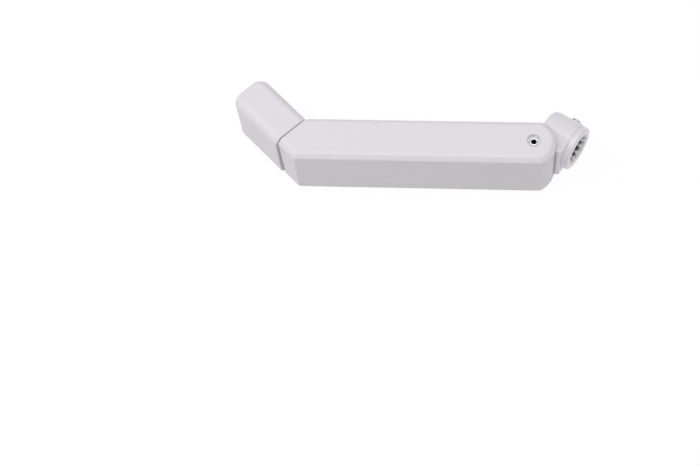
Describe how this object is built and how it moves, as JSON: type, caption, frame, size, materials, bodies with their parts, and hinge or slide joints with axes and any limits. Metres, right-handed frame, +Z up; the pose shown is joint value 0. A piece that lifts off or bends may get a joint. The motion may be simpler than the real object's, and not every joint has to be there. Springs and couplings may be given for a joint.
{
  "type": "folding casement window crank handle",
  "caption": "Folding crank handle: chamfered dog-leg arm, turning knob and a splined socket hub that folds into the arm.",
  "frame": {"origin": "the point where the set screw's axis crosses the splined socket's axis, at the arm's mid height", "axes": "+X along the arm from the knob end towards the hub, +Y towards the side the knob points to and the arm is open to, +Z up with the arm lying on its flat face; the socket opens towards +X and -Y"},
  "size_m": [0.1306, 0.0333, 0.024],
  "materials": {
    "white_paint": "satin white powder coat on die-cast zinc",
    "rivet_steel": "plain zinc-plated steel",
    "screw_steel": "zinc-plated steel, turned",
    "spring_steel": "bright spring steel",
    "nylon": "natural nylon"
  },
  "bodies": {
    "arm": {"arm": "white_paint", "fold_rivet": "rivet_steel", "fold_washer_upper": "nylon", "fold_washer_lower": "nylon", "fold_wave_washer": "spring_steel", "knob_screw": "screw_steel", "knob_wave_washer": "spring_steel"},
    "hub": {"hub": "white_paint", "set_screw": "screw_steel"},
    "knob": {"knob": "white_paint", "knob_bushing_inner": "nylon", "knob_bushing_outer": "nylon"}
  },
  "joints": [
    {"name": "fold", "type": "hinge", "parent": "arm", "child": "hub", "pos_m": [-0.01093, -0.00673, 0], "axis": [0, 0, 1], "range_deg": [-3, 121]},
    {"name": "knob_spin", "type": "hinge", "parent": "arm", "child": "knob", "pos_m": [-0.0986, -0.00414, 0], "axis": [-0.7071, 0.7071, 0], "continuous": true}
  ]
}
